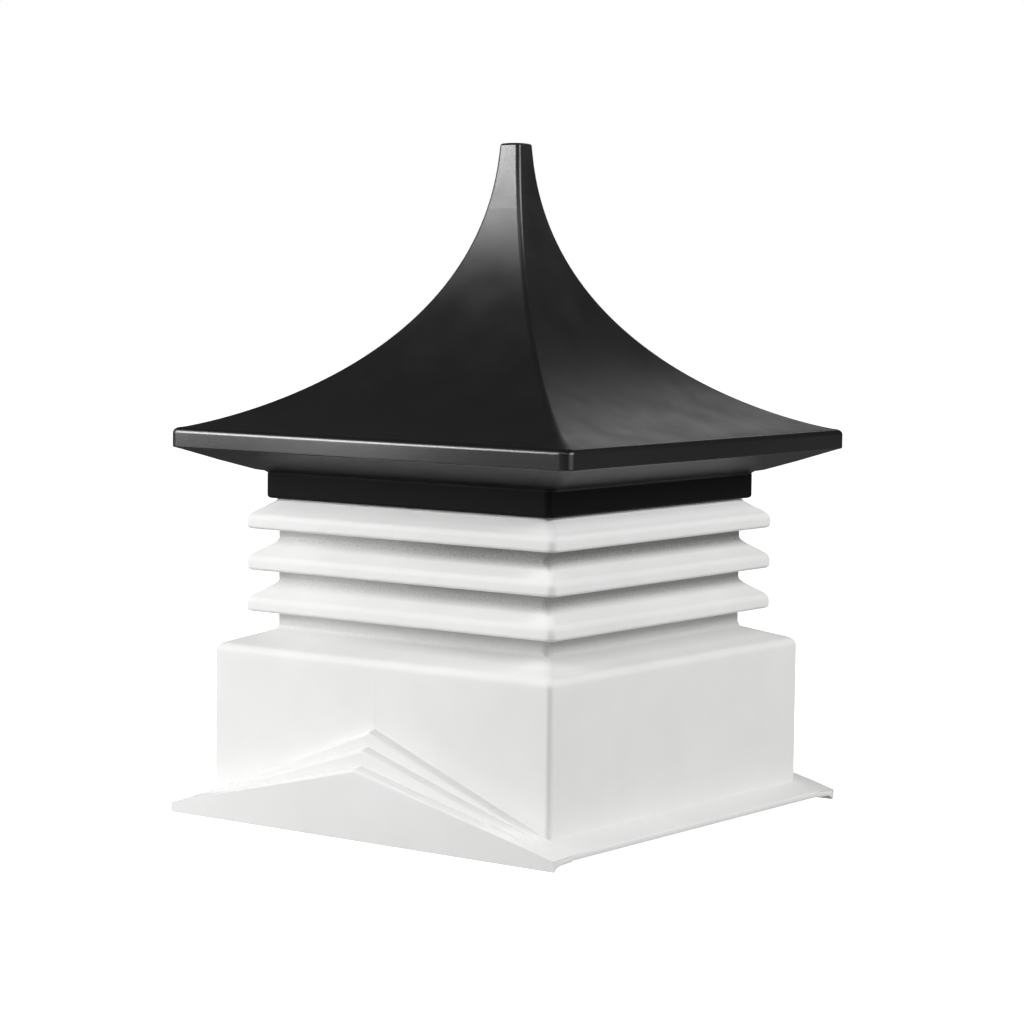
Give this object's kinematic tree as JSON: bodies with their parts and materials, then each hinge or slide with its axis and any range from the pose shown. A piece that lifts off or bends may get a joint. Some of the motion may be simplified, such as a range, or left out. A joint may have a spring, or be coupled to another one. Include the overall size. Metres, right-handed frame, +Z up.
{
  "type": "moulded shed cupola",
  "caption": "Square moulded cupola: white louvred body with stepped gable base that straddles a ridge, under a black four-sided swept roof rising to a narrow open neck.",
  "frame": {"origin": "middle of the base, on the level of the gable panels' lower edges", "axes": "+Z up, Y along the ridge with the front gable face towards -Y, +X towards the right eave face"},
  "size_m": [0.412, 0.417, 0.564],
  "materials": {
    "white_plastic": "satin moulded",
    "black_plastic": "satin moulded"
  },
  "bodies": {
    "root": {"gable_panel_front": "white_plastic", "gable_panel_back": "white_plastic", "gable_step_lower_front": "white_plastic", "gable_step_lower_back": "white_plastic", "gable_step_upper_front": "white_plastic", "gable_step_upper_back": "white_plastic", "eave_flange_left": "white_plastic", "eave_flange_right": "white_plastic", "wall_front": "white_plastic", "wall_back": "white_plastic", "wall_left": "white_plastic", "wall_right": "white_plastic", "shoulder": "white_plastic", "band_lower": "white_plastic", "louvre_lower": "white_plastic", "band_middle": "white_plastic", "louvre_middle": "white_plastic", "band_upper": "white_plastic", "louvre_upper": "white_plastic", "top_ring": "white_plastic", "roof_collar": "black_plastic", "roof_soffit": "black_plastic", "roof_rim": "black_plastic", "roof_shell": "black_plastic", "roof_neck": "black_plastic"}
  },
  "joints": []
}
